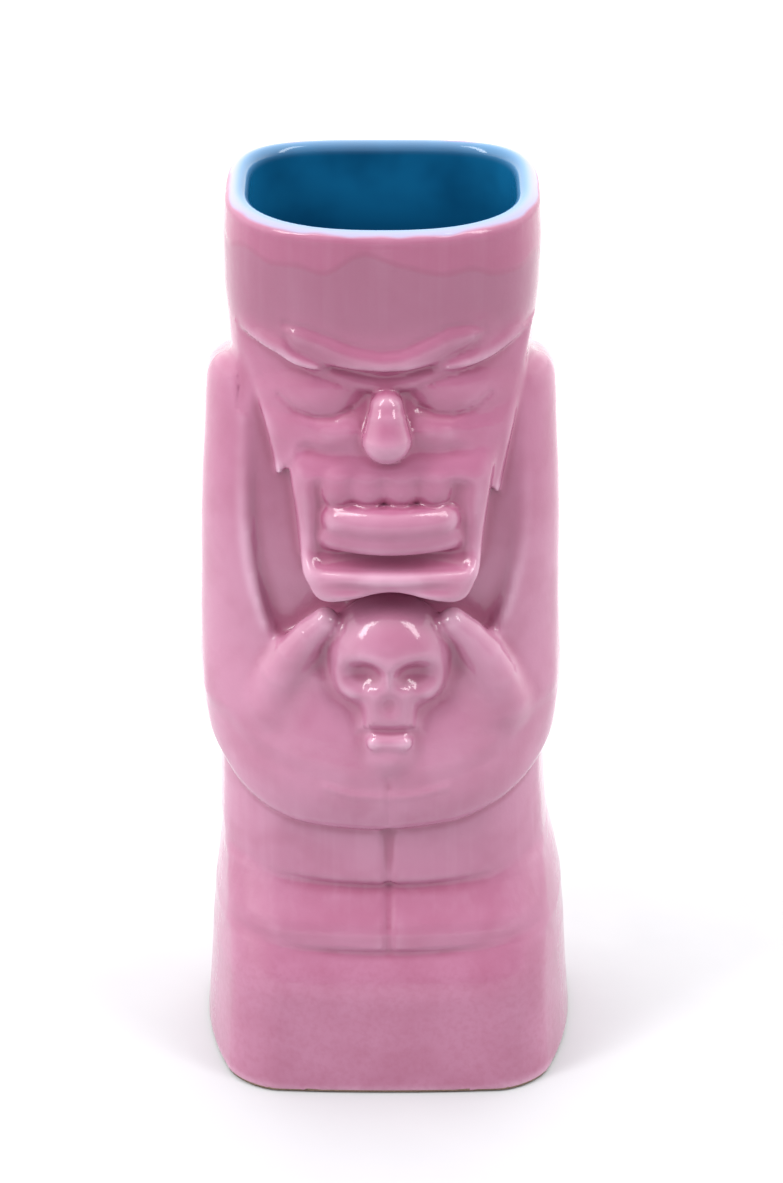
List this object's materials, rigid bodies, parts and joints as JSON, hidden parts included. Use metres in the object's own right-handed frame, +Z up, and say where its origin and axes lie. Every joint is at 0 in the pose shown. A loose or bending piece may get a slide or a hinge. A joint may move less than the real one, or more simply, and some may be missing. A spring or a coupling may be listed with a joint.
{
  "type": "tiki mug",
  "caption": "Tall ceramic drinking mug shaped as a carved figure with a scowling mask-like face, holding a small skull, open at the top to hold a drink",
  "frame": {"origin": "centre of the footprint, on the surface the mug stands on", "axes": "+Z up to the mouth, the face looks along -Y, +X is the viewer's right when facing the mug"},
  "size_m": [0.0747, 0.0626, 0.185],
  "materials": {
    "bare_clay": "matt, fired, unglazed at the foot",
    "pink_glaze": "glossy",
    "blue_glaze": "glossy"
  },
  "bodies": {
    "root": {"clay_body": "bare_clay", "outer_glaze": "pink_glaze", "inner_glaze": "blue_glaze"}
  },
  "joints": []
}
